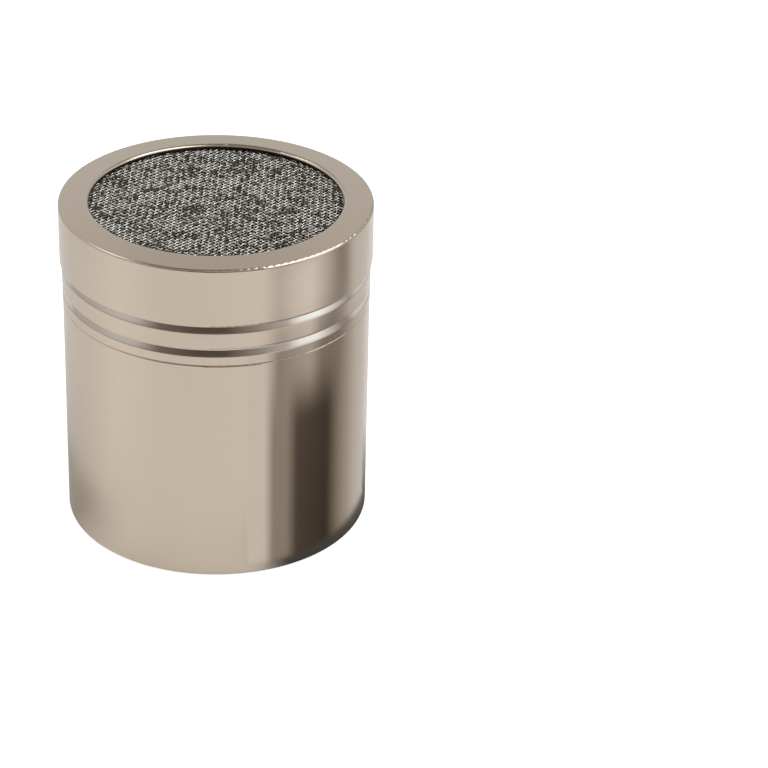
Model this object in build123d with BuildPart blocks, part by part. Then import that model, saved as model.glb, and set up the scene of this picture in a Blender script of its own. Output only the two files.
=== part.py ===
"""Mesh-top spice shaker: a deep-drawn cup, a push-on lid, and the wire cloth held inside the lid.

Millimetres, +Z up, origin at the centre of the base on the surface that the shaker stands on.
Every sheet-metal piece is drawn as the line along the middle of its sheet, given its thickness
and turned about Z.
"""

import os
from math import floor

from build123d import *

# Overall sizes, to the corners before they are rounded
overall_height = 88.5
lid_radius = 40.0

# Lid: pressed from one sheet, a flange round the window and a skirt with two rolled beads.
# The flange rises a little towards the window, and its inner edge is turned down in a short lip
# that the cloth is pressed against.
lid_sheet = 0.6
lid_edge_radius = 0.65
flange_rise = 0.5
flange_width = 7.7
window_lip_radius = 0.8
window_lip_depth = 1.4
band_height = 15.4
bead_width = 2.35
bead_step = 0.4
middle_land = 4.1
lower_land = 2.2
bead_depth = 0.8
bead_bottom_radius = 0.5
bead_edge_radius = 0.4
land_setback = 0.5

# Cup: straight wall, joggled in to a neck that the lid's beads grip
cup_sheet = 0.5
cup_setback = 0.1
shoulder_radius = 0.3
base_corner_radius = 1.4
foot_width = 4.0
base_rise = 0.8
base_step_radius = 1.2
base_step_run = 1.6

# Wire cloth and the ring that holds its edge against the lip
wire_diameter = 0.22
wire_pitch = 1.15
weave_angle = 45.0
edge_margin = 0.05
ring_sheet = 0.5
ring_height = 3.2
ring_corner_radius = 0.4

# Clearances. The neck's is to the corners that the beads are drawn to, before they are rounded.
neck_clearance = 0.1
seam_gap = 0.05
lip_gap = 0.3
layer_gap = 0.02
cloth_clearance = 0.5
ring_bite = 0.02

# Lid, worked out
window_radius = lid_radius - flange_width
lip_foot = overall_height - window_lip_depth
lid_edge_height = overall_height - flange_rise
upper_bead_top = lid_edge_height - band_height
lower_bead_top = upper_bead_top - bead_width - middle_land
skirt_foot = lower_bead_top - bead_width - lower_land
land_radius = lid_radius - land_setback
lid_bore_radius = lid_radius - lid_sheet
bead_crest_radius = land_radius - bead_depth - lid_sheet

# Cup, worked out
cup_radius = land_radius - cup_setback
neck_radius = bead_crest_radius - neck_clearance
shoulder_height = skirt_foot - seam_gap
foot_inner_radius = cup_radius - base_corner_radius - foot_width

# Cloth and ring, worked out
cloth_thickness = 2 * wire_diameter + layer_gap + 2 * edge_margin
cloth_underside = lip_foot - cloth_thickness
cloth_radius = lid_bore_radius - cloth_clearance
cloth_rim_radius = window_radius
wire_end_radius = (cloth_radius + cloth_rim_radius) / 2
ring_underside = cloth_underside - ring_sheet
ring_radius = lid_bore_radius + ring_bite
ring_window_radius = window_radius
lip_height = ring_underside - lip_gap


def bead_points(top, radius_above):
    """Corners of one rolled bead on the middle of the lid's sheet: a sharp step in, a long slope out."""
    half_sheet = lid_sheet / 2
    return [
        (radius_above - half_sheet, top),
        (bead_crest_radius + half_sheet, top - bead_step),
        (land_radius - half_sheet, top - bead_width),
    ]


bead_radii = [bead_edge_radius, bead_bottom_radius, bead_edge_radius]

# Cup: out over the raised base panel, down to the foot, up the wall and in to the neck.
# The line starts on the far side of the axis, and what lies there is cut away.
half_cup_sheet = cup_sheet / 2
panel_height = base_rise + half_cup_sheet
cup_line = [
    (-foot_width, panel_height),
    (foot_inner_radius - base_step_run, panel_height),
    (foot_inner_radius, half_cup_sheet),
    (cup_radius - half_cup_sheet, half_cup_sheet),
    (cup_radius - half_cup_sheet, shoulder_height - half_cup_sheet),
    (neck_radius - half_cup_sheet, shoulder_height - half_cup_sheet),
    (neck_radius - half_cup_sheet, lip_height - half_cup_sheet),
]
cup_radii = [
    base_step_radius,
    base_step_radius,
    base_corner_radius - half_cup_sheet,
    shoulder_radius,
    shoulder_radius,
]

with BuildPart() as body_cup:
    with BuildSketch(Plane.XZ):
        with BuildLine():
            FilletPolyline(*cup_line, radius=cup_radii)
            offset(amount=half_cup_sheet)
        make_face()
        split(bisect_by=Plane.YZ, keep=Keep.TOP)
    revolve(axis=Axis.Z)
body_cup.part.label = "body_cup"

# Lid: up the lip of the window, out over the flange, down the band, both beads and the last land.
# The line runs on past the skirt's foot, and what lies below the foot is trimmed off square.
half_lid_sheet = lid_sheet / 2
lid_line = [
    (window_radius + half_lid_sheet, lip_foot + half_lid_sheet),
    (window_radius + half_lid_sheet, overall_height - half_lid_sheet),
    (lid_radius - half_lid_sheet, lid_edge_height - half_lid_sheet),
    *bead_points(upper_bead_top, lid_radius),
    *bead_points(lower_bead_top, land_radius),
    (land_radius - half_lid_sheet, skirt_foot - half_lid_sheet),
]
lid_radii = [
    window_lip_radius - half_lid_sheet,
    lid_edge_radius - half_lid_sheet,
    *bead_radii,
    *bead_radii,
]

with BuildPart() as lid_shell:
    with BuildSketch(Plane.XZ):
        with BuildLine():
            FilletPolyline(*lid_line, radius=lid_radii)
            offset(amount=half_lid_sheet)
        make_face()
        split(bisect_by=Plane.ZX.offset(skirt_foot), keep=Keep.TOP)
    revolve(axis=Axis.Z)
lid_shell.part.label = "lid_shell"

# Wire cloth: two layers of straight wires whose ends run into the flattened edge, which is clamped
lower_layer = cloth_underside + edge_margin + wire_diameter / 2
upper_layer = lower_layer + wire_diameter + layer_gap
wires_each_side = floor((cloth_rim_radius - wire_diameter) / wire_pitch)

with BuildPart() as mesh_screen:
    for level, heading in ((lower_layer, weave_angle), (upper_layer, weave_angle + 90)):
        across = Vector(1, 0, 0).rotate(Axis.Z, heading)
        with BuildSketch(Plane((0, 0, level), x_dir=across, z_dir=across.rotate(Axis.Z, 90))):
            with GridLocations(wire_pitch, wire_pitch, 2 * wires_each_side + 1, 1):
                Circle(wire_diameter / 2)
        extrude(amount=wire_end_radius, both=True)
    with BuildSketch(Plane.XY.offset(cloth_underside)):
        Circle(wire_end_radius)
    extrude(amount=cloth_thickness, mode=Mode.INTERSECT)
    with BuildSketch(Plane.XY.offset(cloth_underside)):
        Circle(cloth_radius)
        Circle(cloth_rim_radius, mode=Mode.SUBTRACT)
    extrude(amount=cloth_thickness)
mesh_screen.part.label = "mesh_screen"

# Retaining ring: its flange lies under the cloth's edge and its wall is pressed into the lid
half_ring_sheet = ring_sheet / 2
ring_line = [
    (ring_window_radius + half_ring_sheet, cloth_underside - half_ring_sheet),
    (ring_radius - half_ring_sheet, cloth_underside - half_ring_sheet),
    (ring_radius - half_ring_sheet, cloth_underside - ring_height + half_ring_sheet),
]

with BuildPart() as mesh_retaining_ring:
    with BuildSketch(Plane.XZ):
        with BuildLine():
            FilletPolyline(*ring_line, radius=ring_corner_radius)
            offset(amount=half_ring_sheet)
        make_face()
    revolve(axis=Axis.Z)
mesh_retaining_ring.part.label = "mesh_retaining_ring"

os.makedirs("parts", exist_ok=True)
for piece in (body_cup, lid_shell, mesh_screen, mesh_retaining_ring):
    export_step(piece.part, f"parts/{piece.part.label}.step")
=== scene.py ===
"""Looks of the mesh-top spice shaker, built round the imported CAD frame. Metres, +Z up."""

import math

import bpy
import numpy as np
from mathutils import Matrix, Vector


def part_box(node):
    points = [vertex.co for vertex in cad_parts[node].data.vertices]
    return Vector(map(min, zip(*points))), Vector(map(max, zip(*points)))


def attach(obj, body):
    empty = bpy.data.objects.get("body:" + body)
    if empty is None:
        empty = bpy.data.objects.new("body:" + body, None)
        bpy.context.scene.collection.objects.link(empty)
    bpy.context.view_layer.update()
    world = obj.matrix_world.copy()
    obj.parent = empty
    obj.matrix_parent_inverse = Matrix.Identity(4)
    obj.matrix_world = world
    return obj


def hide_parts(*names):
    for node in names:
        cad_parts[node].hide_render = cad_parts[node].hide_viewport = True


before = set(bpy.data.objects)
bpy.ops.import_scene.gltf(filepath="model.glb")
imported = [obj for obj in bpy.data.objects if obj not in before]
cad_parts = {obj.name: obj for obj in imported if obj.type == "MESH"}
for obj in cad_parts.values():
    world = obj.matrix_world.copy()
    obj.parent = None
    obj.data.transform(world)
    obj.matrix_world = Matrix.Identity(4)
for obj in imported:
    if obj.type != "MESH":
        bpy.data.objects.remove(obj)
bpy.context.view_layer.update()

MM = 0.001
WHITE = (1.0, 1.0, 1.0, 1.0)

# Camera: it looks along +Y and down, and is rolled a little anticlockwise. Before the roll, its line
# of sight passes the origin by CAMERA_RIGHT and CAMERA_UP.
CAMERA_PITCH = math.radians(29.03)
CAMERA_ROLL = math.radians(1.52)
CAMERA_DISTANCE = 802.5 * MM
CAMERA_RIGHT = 43.7 * MM
CAMERA_UP = 31.32 * MM
CAMERA_LENS = 140.6
CAMERA_SENSOR = 36.0
CAMERA_CLIP_START = 0.01
CAMERA_CLIP_END = 20.0

# Wire cloth, as in the CAD part, but truly woven. A wire's middle swings a little further than its
# radius, so that crossing wires clear each other.
WIRE_DIAMETER = 0.22 * MM
WIRE_PITCH = 1.15 * MM
WIRE_CRIMP = WIRE_DIAMETER / 2 * 1.03
WIRE_SIDES = 6
STEPS_PER_CROSSING = 4
WIRE_WANDER = 0.1 * MM
CLOTH_MARGIN = 0.4 * MM
WEAVE_ANGLE = math.radians(45)
# Name, heading, 1 or -1 where the middle wire passes over or under at the centre, seed of the wander
WIRE_SETS = (
    ("cloth_warp", WEAVE_ANGLE, 1, 11),
    ("cloth_weft", WEAVE_ANGLE + math.pi / 2, -1, 12),
)
# Slow waves that carry the cloth off a true grid: length, and reach in plan and in height
DRIFTS = (
    (26 * MM, 0.16 * MM, 0.20 * MM),
    (11 * MM, 0.07 * MM, 0.12 * MM),
)
DRIFT_WAVES = 4
DRIFT_SEED = 7
CLOTH_FLAT_FROM = 31.0 * MM

# Steel, as linear colours
SATIN = (0.575, 0.488, 0.395, 1.0)
SATIN_ROUGHNESS = 0.22
SATIN_ANISOTROPY = 0.6
RING_STEEL = (0.55, 0.53, 0.50, 1.0)
RING_ROUGHNESS = 0.3
RING_ANISOTROPY = 0.3
# A quarter turn, so that highlights are drawn out across the brushing
ANISOTROPY_TURN = 0.25
# Brushing: noise that changes slowly along the lines and fast across them. The slant adds a share
# of the radius to the height, so that level faces get lines too.
BRUSH_SCALE = (60, 60, 9000)
BRUSH_SLANT = 1.37
BRUSH_DETAIL = 3.0
BRUSH_TINT = (0.94, 1.06)
BRUSH_BUMP = 0.1
BRUSH_DEPTH = 0.02 * MM
# Soft clouds of a smoother and a rougher finish, as shares of the steel's roughness
CLOUD_SCALE = 60.0
CLOUD_DETAIL = 2.0
CLOUD_ROUGHNESS = (0.85, 1.15)
# The rolled beads are polished inwards of these radii and below these heights, and painted lighter as
# a sheen
BEAD_PAINTED_SHEEN = (0.68, 0.62, 0.55, 1.0)
BEAD_ROUGHNESS = 0.12
BEAD_POLISH = (39.25 * MM, 39.45 * MM)
BEAD_TOP = (74 * MM, 76 * MM)
# The inside is dull, and painted darker as shade. Above these heights, where the lid closes on the
# cloth's edge, it is painted near-black as a shadow line
INSIDE_DULL_AND_SHADE_COLOUR = (0.30, 0.28, 0.25, 1.0)
INSIDE_ROUGHNESS = 0.5
PAINTED_SHADOW_COLOUR = (0.04, 0.035, 0.03, 1.0)
PAINTED_SHADOW_HEIGHTS = (86.6 * MM, 87.0 * MM)
# How far a surface faces outwards, as a cosine, where the outside's finish starts and is whole
OUTSIDE_FACING = (0.1, 0.3)
# How much further a face of the lid has to face up than out to count as its outside
UP_HANDICAP = 0.1
CUP_HEART = (0, 0, 40 * MM)
# Wire: painted shade and painted glint, each as colour and roughness, shared out by two sizes of
# noise
WIRE_PAINTED_SHADE = (0.18, 0.15, 0.125, 1.0)
WIRE_PAINTED_GLINT = (1.0, 0.96, 0.89, 1.0)
WIRE_DULL_ROUGHNESS = 0.42
WIRE_BRIGHT_ROUGHNESS = 0.20
PATCH_SCALE = 260.0
PATCH_DETAIL = 2.0
PATCH_WEIGHT = 0.6
KNUCKLE_SCALE = 900.0
KNUCKLE_DETAIL = 1.0
WIRE_SHARE = (0.70, 0.80)

# Studio, as radiances. Azimuth 0 is towards the camera and grows towards +X, in degrees.
# RAMP_TOP is the largest grey that a ramp can hold.
RAMP_TOP = 2.0
# Dark greys are warm, white is reached as a power of the lifted grey, and the brightest are cool
WARM = (1.0, 0.75, 0.50, 1.0)
COOL = (0.86, 0.96, 1.0, 1.0)
WHITE_LIFT = 1.5
WHITE_POWER = 0.5
COOL_GREYS = (0.9, 1.5)
# A belt of soft walls, dark behind the camera and bright at the right, by azimuth
ROOM_BELT = (
    (-180, 0.75),
    (-105, 0.9),
    (-80, 0.9),
    (-58, 0.75),
    (-38, 0.2),
    (-10, 0.1),
    (10, 0.1),
    (55, 0.6),
    (65, 1.4),
    (80, 1.9),
    (105, 0.95),
    (125, 0.7),
    (180, 0.75),
)
# The belt's upper edge, as sines of the elevation, and the grey above it
SKY_FROM = (0.34, 0.54)
SKY_GREY = 0.78
# How much of either is left, by the sine of the elevation
ROOM_FADE = (
    (-1.0, 0.60),
    (0.05, 0.60),
    (0.24, 1.0),
    (0.57, 0.88),
    (0.77, 0.45),
    (0.95, 0.35),
    (1.0, 0.35),
)
# Name, azimuth and elevation in degrees, width and height in metres, radiance, colour
SOFT_BOXES = (
    ("box_right", 68, 56, 0.85, 0.50, 2.8, (0.90, 0.95, 1.0)),
    ("box_left", -105, 52, 0.50, 0.25, 1.8, (1.0, 1.0, 1.0)),
)
BOX_DISTANCE = 0.9
BOX_AIM = Vector((0, 0, 0.045))

FLOOR_HALF = 0.45
FLOOR_COLOUR = (0.8, 0.8, 0.8, 1.0)
FLOOR_GLOW_TO_CAMERA = 0.75
# How much the floor glows to metal, by azimuth, at the shaker's foot and farther out
FOOT_GLOW = (
    (-180, 0.05),
    (-75, 0.05),
    (-52, 0.35),
    (-40, 0.4),
    (-24, 0.3),
    (14, 0.3),
    (28, 0.0),
    (180, 0.05),
)
FLOOR_GLOW = ((-180, 0.2), (-125, 0.2), (-65, 0.45), (-33, 0.35), (18, 0.35), (180, 0.2))
# How far the smaller shaker beside this one darkens the floor that metal sees, likewise
SHADE_COLOUR = (0.04, 0.04, 0.04, 1.0)
FOOT_SHADE = ((-180, 0.0), (20, 0.0), (32, 0.9), (98, 0.9), (125, 0.0), (180, 0.0))
FLOOR_SHADE = ((-180, 0.0), (36, 0.0), (46, 0.9), (98, 0.9), (125, 0.0), (180, 0.0))
# The distances from the axis between which the foot's ramps turn into the floor's
FOOT_TO_FLOOR = (50 * MM, 72 * MM)

# Cards that stand in for the smaller shaker at this one's right, as its wall reflects it:
# name, radius, foot, top, the heights between which one ramp turns into the other,
# and the greys by azimuth below and above them
CARD_STEPS = 48
CARDS = (
    (
        "card_by_cup",
        44 * MM,
        0 * MM,
        62 * MM,
        (38 * MM, 57 * MM),
        (
            (16, 0.95),
            (23, 0.95),
            (27, 0.4),
            (33, 0.4),
            (38, 0.1),
            (55, 0.05),
            (65, 0.4),
            (78, 0.7),
            (95, 0.8),
        ),
        (
            (16, 0.95),
            (23, 0.95),
            (29, 0.4),
            (44, 0.6),
            (51, 0.3),
            (62, 0.3),
            (77, 0.7),
            (95, 0.8),
        ),
    ),
    (
        "card_by_lid",
        80 * MM,
        36 * MM,
        70.5 * MM,
        (46 * MM, 49 * MM),
        (
            (30, 1.0),
            (39, 0.5),
            (60, 0.9),
            (68, 0.35),
            (78, 0.25),
            (98, 0.8),
            (122, 0.8),
        ),
        (
            (30, 1.0),
            (39, 0.8),
            (47, 1.0),
            (59, 1.15),
            (72, 0.7),
            (82, 0.35),
            (88, 0.35),
            (97, 0.8),
            (122, 0.8),
        ),
    ),
)


def direction(azimuth, elevation=0.0):
    """A vector of length 1 at an azimuth and an elevation, in degrees."""
    turn, rise = math.radians(azimuth), math.radians(elevation)
    return Vector((math.sin(turn) * math.cos(rise), -math.cos(turn) * math.cos(rise), math.sin(rise)))


def make_camera():
    """The photograph's camera."""
    forward = Vector((0, math.cos(CAMERA_PITCH), -math.sin(CAMERA_PITCH)))
    right = Vector((1, 0, 0))
    up = right.cross(forward)
    place = -CAMERA_DISTANCE * forward + CAMERA_RIGHT * right + CAMERA_UP * up
    rolled_right = math.cos(CAMERA_ROLL) * right + math.sin(CAMERA_ROLL) * up
    rolled_up = math.cos(CAMERA_ROLL) * up - math.sin(CAMERA_ROLL) * right
    data = bpy.data.cameras.new("camera")
    data.lens = CAMERA_LENS
    data.sensor_width = CAMERA_SENSOR
    data.clip_start = CAMERA_CLIP_START
    data.clip_end = CAMERA_CLIP_END
    camera = bpy.data.objects.new("camera", data)
    turn = Matrix((rolled_right, rolled_up, -forward)).transposed()
    camera.matrix_world = Matrix.Translation(place) @ turn.to_4x4()
    bpy.context.scene.collection.objects.link(camera)
    bpy.context.scene.camera = camera


def new_object(name, vertices, faces, smooth=True):
    """A mesh object in the scene."""
    mesh = bpy.data.meshes.new(name)
    mesh.from_pydata(vertices, [], faces)
    mesh.polygons.foreach_set("use_smooth", [smooth] * len(mesh.polygons))
    mesh.update()
    made = bpy.data.objects.new(name, mesh)
    bpy.context.scene.collection.objects.link(made)
    return made


def new_material(name):
    """An empty material and its node tree."""
    material = bpy.data.materials.new(name)
    material.use_nodes = True
    material.node_tree.nodes.clear()
    return material, material.node_tree


def dress(piece, material):
    """Gives a piece one material all over."""
    piece.data.materials.clear()
    piece.data.materials.append(material)


# Nodes. In each function below, an input is a value or another node's output.


def add_node(tree, kind, inputs=(), **settings):
    """A shader node with its settings and its inputs, by number or by name."""
    node = tree.nodes.new(kind)
    for key, value in settings.items():
        setattr(node, key, value)
    for key, value in dict(inputs).items():
        if isinstance(value, bpy.types.NodeSocket):
            tree.links.new(value, node.inputs[key])
        else:
            node.inputs[key].default_value = value
    return node


def math_node(tree, operation, *values, **settings):
    """The result of a Math node."""
    node = add_node(tree, "ShaderNodeMath", enumerate(values), operation=operation, **settings)
    return node.outputs[0]


def vector_node(tree, operation, *vectors):
    """The result of a Vector Math node: a number for a length or a dot product, else a vector."""
    node = add_node(tree, "ShaderNodeVectorMath", enumerate(vectors), operation=operation)
    return node.outputs["Value" if operation in ("LENGTH", "DOT_PRODUCT") else "Vector"]


def place_node(tree):
    """Where a point of the surface lies in its object, whose frame is the scene's at rest."""
    return add_node(tree, "ShaderNodeTexCoord").outputs["Object"]


def level_node(tree, place):
    """What is left of a place when its height is taken away."""
    return vector_node(tree, "MULTIPLY", place, (1, 1, 0))


def noise_node(tree, place, detail, scale=1.0):
    """Noise from 0 to 1."""
    return add_node(
        tree, "ShaderNodeTexNoise", {"Vector": place, "Scale": scale, "Detail": detail}
    ).outputs[0]


def mix_colours(tree, share, low, high):
    """The low colour where the share is 0, the high one where it is 1."""
    node = add_node(tree, "ShaderNodeMix", {0: share, 6: low, 7: high}, data_type="RGBA")
    return node.outputs[2]


def mix_values(tree, share, low, high):
    """The low value where the share is 0, the high one where it is 1."""
    node = add_node(tree, "ShaderNodeMix", {0: share, 2: low, 3: high}, data_type="FLOAT")
    return node.outputs[0]


def share_node(tree, value, low, high, blend="LINEAR"):
    """0 where a value is no more than low, 1 where it is no less than high."""
    return add_node(
        tree,
        "ShaderNodeMapRange",
        {0: value, 1: low, 2: high, 3: 0.0, 4: 1.0},
        interpolation_type=blend,
    ).outputs[0]


def step_node(tree, value, low, high):
    """A share that starts and ends gently."""
    return share_node(tree, value, low, high, "SMOOTHSTEP")


def ramp_node(tree, place, pairs):
    """A grey that follows a value in straight runs; each pair is (value, grey)."""
    low, high = pairs[0][0], pairs[-1][0]
    node = add_node(tree, "ShaderNodeFloatCurve", {1: share_node(tree, place, low, high)})
    curve = node.mapping.curves[0]
    spots = [((at - low) / (high - low), grey / RAMP_TOP) for at, grey in pairs]
    curve.points[0].location = spots[0]
    curve.points[1].location = spots[-1]
    for spot in spots[1:-1]:
        curve.points.new(*spot)
    for point in curve.points:
        point.handle_type = "VECTOR"
    node.mapping.update()
    return math_node(tree, "MULTIPLY", node.outputs[0], RAMP_TOP)


def two_ramps(tree, share, place, first, second):
    """One ramp that turns into another as the share grows."""
    return mix_values(tree, share, ramp_node(tree, place, first), ramp_node(tree, place, second))


def azimuth_node(tree, vector):
    """Degrees round Z from the camera's side, growing towards +X."""
    x, y, _ = add_node(tree, "ShaderNodeSeparateXYZ", {0: vector}).outputs
    turn = math_node(tree, "ARCTAN2", x, math_node(tree, "MULTIPLY", y, -1.0))
    return math_node(tree, "DEGREES", turn)


def tint_node(tree, grey):
    """The studio's colour: warm where it is dark, white where it is bright, cool at its brightest."""
    lifted = math_node(tree, "MULTIPLY", grey, WHITE_LIFT, use_clamp=True)
    whitened = mix_colours(tree, math_node(tree, "POWER", lifted, WHITE_POWER), WARM, WHITE)
    return mix_colours(tree, step_node(tree, grey, *COOL_GREYS), whitened, COOL)


def facing_node(tree, vector):
    """How far a surface faces along a vector that needn't be of length 1, as a cosine."""
    normal = add_node(tree, "ShaderNodeTexCoord").outputs["Normal"]
    return vector_node(tree, "DOT_PRODUCT", normal, vector_node(tree, "NORMALIZE", vector))


# Steel


def scaled(colour, factor):
    """A colour made darker or lighter."""
    return (*[min(1.0, part * factor) for part in colour[:3]], 1.0)


def outside_of_cup(tree, place):
    """1 where the cup's surface faces away from its middle, 0 where it faces in."""
    away = vector_node(tree, "SUBTRACT", place, CUP_HEART)
    return step_node(tree, facing_node(tree, away), *OUTSIDE_FACING)


def outside_of_lid(tree, place):
    """1 where the lid's surface faces out from its axis or up, 0 on its inside."""
    out = facing_node(tree, level_node(tree, place))
    up = math_node(tree, "SUBTRACT", facing_node(tree, (0, 0, 1)), UP_HANDICAP)
    return step_node(tree, math_node(tree, "MAXIMUM", out, up), *OUTSIDE_FACING)


def rolled_beads(tree, radius, height):
    """1 in the lid's rolled beads, which the rolling wheel leaves polished and which get a painted
    sheen, 0 elsewhere.
    """
    land = step_node(tree, radius, *BEAD_POLISH)
    above = step_node(tree, height, *BEAD_TOP)
    return math_node(tree, "SUBTRACT", 1.0, math_node(tree, "MAXIMUM", land, above))


def turned_steel(name, colour, roughness, anisotropy, outside_of=None, beaded=False):
    """Satin steel whose fine brushing runs round the Z axis, left duller on its inside, which is
    painted darker as shade and near-black as a shadow line up by the lid's window.
    """
    material, tree = new_material(name)
    place = place_node(tree)
    x, y, height = add_node(tree, "ShaderNodeSeparateXYZ", {0: place}).outputs
    radius = vector_node(tree, "LENGTH", level_node(tree, place))
    slanted = math_node(tree, "MULTIPLY_ADD", radius, BRUSH_SLANT, height)
    lines = add_node(tree, "ShaderNodeCombineXYZ", {0: x, 1: y, 2: slanted}).outputs[0]
    brushing = noise_node(tree, vector_node(tree, "MULTIPLY", lines, BRUSH_SCALE), BRUSH_DETAIL)
    clouds = noise_node(tree, place, CLOUD_DETAIL, CLOUD_SCALE)
    tint = mix_colours(tree, brushing, *[scaled(colour, share) for share in BRUSH_TINT])
    rough = mix_values(tree, clouds, *[roughness * share for share in CLOUD_ROUGHNESS])
    if beaded:
        polished = rolled_beads(tree, radius, height)
        # A lighter colour in the beads is a painted sheen; their lower roughness is their real polish
        tint = mix_colours(tree, polished, tint, BEAD_PAINTED_SHEEN)
        rough = mix_values(tree, polished, rough, BEAD_ROUGHNESS)
    if outside_of is not None:
        # Inside faces are duller, and painted darker as shade
        outside = outside_of(tree, place)
        # A near-black painted shadow line where the lid closes on the cloth's edge
        painted_shadow = step_node(tree, height, *PAINTED_SHADOW_HEIGHTS)
        inside = mix_colours(tree, painted_shadow, INSIDE_DULL_AND_SHADE_COLOUR, PAINTED_SHADOW_COLOUR)
        tint = mix_colours(tree, outside, inside, tint)
        rough = mix_values(tree, outside, INSIDE_ROUGHNESS, rough)
    bump = add_node(
        tree, "ShaderNodeBump", {"Height": brushing, "Strength": BRUSH_BUMP, "Distance": BRUSH_DEPTH}
    )
    tangent = add_node(tree, "ShaderNodeTangent", direction_type="RADIAL", axis="Z")
    shader = add_node(
        tree,
        "ShaderNodeBsdfPrincipled",
        {
            "Base Color": tint,
            "Metallic": 1.0,
            "Roughness": rough,
            "Anisotropic": anisotropy,
            "Anisotropic Rotation": ANISOTROPY_TURN,
            "Tangent": tangent.outputs[0],
            "Normal": bump.outputs[0],
        },
    )
    add_node(tree, "ShaderNodeOutputMaterial", {0: shader.outputs[0]})
    return material


def wire_steel(name):
    """Drawn wire with painted glints and painted shade, rougher where shaded, in patches and from
    knuckle to knuckle.
    """
    material, tree = new_material(name)
    place = place_node(tree)
    patches = noise_node(tree, place, PATCH_DETAIL, PATCH_SCALE)
    knuckles = noise_node(tree, place, KNUCKLE_DETAIL, KNUCKLE_SCALE)
    both = math_node(tree, "MULTIPLY_ADD", patches, PATCH_WEIGHT, knuckles)
    share = share_node(tree, both, *WIRE_SHARE)
    # Painted glints and painted shade, spread in random patches
    tint = mix_colours(tree, share, WIRE_PAINTED_SHADE, WIRE_PAINTED_GLINT)
    rough = mix_values(tree, share, WIRE_DULL_ROUGHNESS, WIRE_BRIGHT_ROUGHNESS)
    shader = add_node(
        tree, "ShaderNodeBsdfPrincipled", {"Base Color": tint, "Metallic": 1.0, "Roughness": rough}
    )
    add_node(tree, "ShaderNodeOutputMaterial", {0: shader.outputs[0]})
    return material


# Wire cloth


def cloth_drift(x, y):
    """How far the cloth lies off a true grid along X, Y and Z. Its clamped edge lies level."""
    waves = np.random.default_rng(DRIFT_SEED)
    shift = [np.zeros_like(x) for _ in range(3)]
    for length, plan, height in DRIFTS:
        for _ in range(DRIFT_WAVES):
            heading, phase = waves.uniform(0, 2 * math.pi, 2)
            along = x * math.cos(heading) + y * math.sin(heading)
            wave = np.sin(2 * math.pi * along / length + phase) / DRIFT_WAVES
            shift[0] += plan * wave * math.cos(phase)
            shift[1] += plan * wave * math.sin(phase)
            shift[2] += height * wave
    shift[2] *= np.clip(1 - (x**2 + y**2) / CLOTH_FLAT_FROM**2, 0, 1) ** 0.5
    return shift


def tube_vertices(centre):
    """Rings of WIRE_SIDES points round each point of a wire's middle line."""
    tangent = np.gradient(centre, axis=0)
    tangent /= np.linalg.norm(tangent, axis=1)[:, None]
    side = np.cross(tangent, (0, 0, 1))
    side /= np.linalg.norm(side, axis=1)[:, None]
    upward = np.cross(side, tangent)
    turns = np.arange(WIRE_SIDES) * 2 * math.pi / WIRE_SIDES
    rings = (
        centre[:, None, :]
        + WIRE_DIAMETER / 2 * np.cos(turns)[None, :, None] * side[:, None, :]
        + WIRE_DIAMETER / 2 * np.sin(turns)[None, :, None] * upward[:, None, :]
    )
    return rings.reshape(-1, 3).tolist()


def tube_faces(first, rings):
    """Faces of a closed tube of so many rings, the first point of which is vertex number first."""
    faces = []
    for k in range(rings - 1):
        for s in range(WIRE_SIDES):
            n = (s + 1) % WIRE_SIDES
            a = first + k * WIRE_SIDES
            faces.append((a + s, a + n, a + WIRE_SIDES + n, a + WIRE_SIDES + s))
    last = first + (rings - 1) * WIRE_SIDES
    faces.append(tuple(first + s for s in reversed(range(WIRE_SIDES))))
    faces.append(tuple(last + s for s in range(WIRE_SIDES)))
    return faces


def woven_wires(name, heading, over, seed, radius, middle):
    """One direction of a plain weave: round wires that pass over and under the ones across them."""
    along = np.array((math.cos(heading), math.sin(heading)))
    across = np.array((-math.sin(heading), math.cos(heading)))
    each_side = int(radius / WIRE_PITCH)
    wander = np.random.default_rng(seed).uniform(-WIRE_WANDER, WIRE_WANDER, 2 * each_side + 1)
    vertices = []
    faces = []
    for i in range(-each_side, each_side + 1):
        half = math.sqrt(radius**2 - (i * WIRE_PITCH) ** 2)
        steps = int(half / WIRE_PITCH * STEPS_PER_CROSSING)
        if steps < STEPS_PER_CROSSING:
            continue
        t = np.arange(-steps, steps + 1) * WIRE_PITCH / STEPS_PER_CROSSING
        x, y = (np.outer(t, along) + (i * WIRE_PITCH + wander[i + each_side]) * across).T
        z = middle + over * (-1) ** i * WIRE_CRIMP * np.cos(math.pi * t / WIRE_PITCH)
        drift = cloth_drift(x, y)
        faces += tube_faces(len(vertices), len(t))
        vertices += tube_vertices(np.column_stack((x + drift[0], y + drift[1], z + drift[2])))
    return new_object(name, vertices, faces)


def make_cloth():
    """Both directions of wire, in the place of the CAD part's plain cloth."""
    low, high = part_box("mesh_screen")
    radius = high.x - CLOTH_MARGIN
    middle = (low.z + high.z) / 2
    wire_painted_glints = wire_steel("wire_painted_glints")
    for name, heading, over, seed in WIRE_SETS:
        wires = woven_wires(name, heading, over, seed, radius, middle)
        dress(wires, wire_painted_glints)
        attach(wires, "lid")
        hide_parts("mesh_screen")


# Studio


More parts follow.
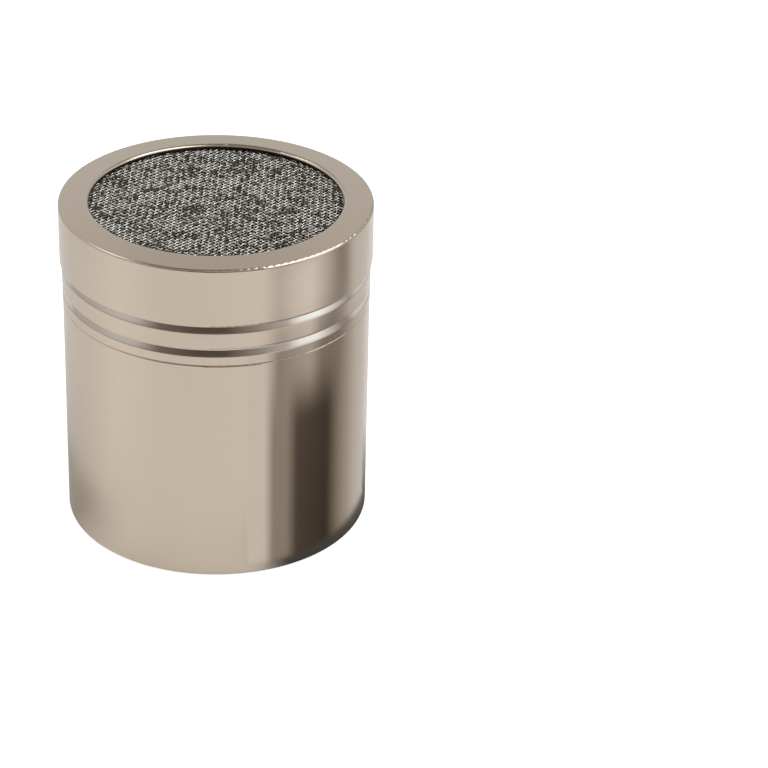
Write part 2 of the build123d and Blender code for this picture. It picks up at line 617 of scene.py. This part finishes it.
def make_floor():
    """A white floor that keeps the shaker's shadow. It glows to the camera, and less to metal."""
    material, tree = new_material("white_floor")
    path = add_node(tree, "ShaderNodeLightPath")
    to_camera, to_metal = path.outputs["Is Camera Ray"], path.outputs["Is Glossy Ray"]
    place = place_node(tree)
    turn = azimuth_node(tree, place)
    out = step_node(tree, vector_node(tree, "LENGTH", place), *FOOT_TO_FLOOR)
    glow = math_node(tree, "MULTIPLY", to_metal, two_ramps(tree, out, turn, FOOT_GLOW, FLOOR_GLOW))
    glow = math_node(tree, "MULTIPLY_ADD", to_camera, FLOOR_GLOW_TO_CAMERA, glow)
    shade = math_node(tree, "MULTIPLY", to_metal, two_ramps(tree, out, turn, FOOT_SHADE, FLOOR_SHADE))
    grey = mix_colours(tree, shade, FLOOR_COLOUR, SHADE_COLOUR)
    matt = add_node(tree, "ShaderNodeBsdfDiffuse", {"Color": grey})
    glowing = add_node(tree, "ShaderNodeEmission", {"Color": WHITE, "Strength": glow})
    both = add_node(tree, "ShaderNodeAddShader", {0: matt.outputs[0], 1: glowing.outputs[0]})
    add_node(tree, "ShaderNodeOutputMaterial", {0: both.outputs[0]})
    h = FLOOR_HALF
    corners = [(-h, -h, 0), (h, -h, 0), (h, h, 0), (-h, h, 0)]
    floor = new_object("floor", corners, [(0, 1, 2, 3)], smooth=False)
    dress(floor, material)


def make_world():
    """The studio all round: a belt of soft walls, plain grey above it, and white for the camera."""
    world = bpy.data.worlds.new("studio")
    bpy.context.scene.world = world
    world.use_nodes = True
    tree = world.node_tree
    tree.nodes.clear()
    way = add_node(tree, "ShaderNodeTexCoord").outputs["Generated"]
    rise = add_node(tree, "ShaderNodeSeparateXYZ", {0: way}).outputs[2]
    belt = ramp_node(tree, azimuth_node(tree, way), ROOM_BELT)
    walls = mix_values(tree, step_node(tree, rise, *SKY_FROM), belt, SKY_GREY)
    room = math_node(tree, "MULTIPLY", walls, ramp_node(tree, rise, ROOM_FADE))
    soft = add_node(tree, "ShaderNodeBackground", {"Color": tint_node(tree, room), "Strength": room})
    white = add_node(tree, "ShaderNodeBackground", {"Color": WHITE, "Strength": 1.0})
    to_camera = add_node(tree, "ShaderNodeLightPath").outputs["Is Camera Ray"]
    pick = add_node(
        tree, "ShaderNodeMixShader", {0: to_camera, 1: soft.outputs[0], 2: white.outputs[0]}
    )
    add_node(tree, "ShaderNodeOutputWorld", {0: pick.outputs[0]})


def make_boxes():
    """Soft boxes high at both sides, turned to the shaker."""
    for name, azimuth, elevation, width, height, radiance, colour in SOFT_BOXES:
        out = direction(azimuth, elevation)
        data = bpy.data.lights.new(name, "AREA")
        data.shape = "RECTANGLE"
        data.size, data.size_y = width, height
        data.energy = radiance * math.pi * width * height
        data.color = colour
        box = bpy.data.objects.new(name, data)
        turned = out.to_track_quat("Z", "Y").to_matrix().to_4x4()
        box.matrix_world = Matrix.Translation(BOX_AIM + BOX_DISTANCE * out) @ turned
        box.visible_camera = False
        bpy.context.scene.collection.objects.link(box)


def make_card(name, radius, foot, top, blend, lower, upper):
    """A curved card at the shaker's right, seen only in its reflections."""
    material, tree = new_material(name)
    place = place_node(tree)
    height = add_node(tree, "ShaderNodeSeparateXYZ", {0: place}).outputs[2]
    share = step_node(tree, height, *blend)
    grey = two_ramps(tree, share, azimuth_node(tree, place), lower, upper)
    glow = add_node(tree, "ShaderNodeEmission", {"Color": tint_node(tree, grey), "Strength": grey})
    add_node(tree, "ShaderNodeOutputMaterial", {0: glow.outputs[0]})
    first, last = lower[0][0], lower[-1][0]
    vertices = []
    for k in range(CARD_STEPS + 1):
        x, y, _ = radius * direction(first + (last - first) * k / CARD_STEPS)
        vertices += [(x, y, foot), (x, y, top)]
    faces = [(2 * k, 2 * k + 2, 2 * k + 3, 2 * k + 1) for k in range(CARD_STEPS)]
    card = new_object(name, vertices, faces)
    dress(card, material)
    card.visible_camera = False
    card.visible_shadow = False
    card.visible_diffuse = False


make_camera()
make_floor()
make_world()
make_boxes()
for card in CARDS:
    make_card(*card)
make_cloth()

cup_satin = turned_steel("cup_satin", SATIN, SATIN_ROUGHNESS, SATIN_ANISOTROPY, outside_of_cup)
lid_satin = turned_steel(
    "lid_satin", SATIN, SATIN_ROUGHNESS, SATIN_ANISOTROPY, outside_of_lid, beaded=True
)
ring_mill = turned_steel("ring_mill", RING_STEEL, RING_ROUGHNESS, RING_ANISOTROPY)
dress(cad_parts["body_cup"], cup_satin)
dress(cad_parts["lid_shell"], lid_satin)
dress(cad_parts["mesh_retaining_ring"], ring_mill)

bpy.context.scene.view_settings.view_transform = "Standard"
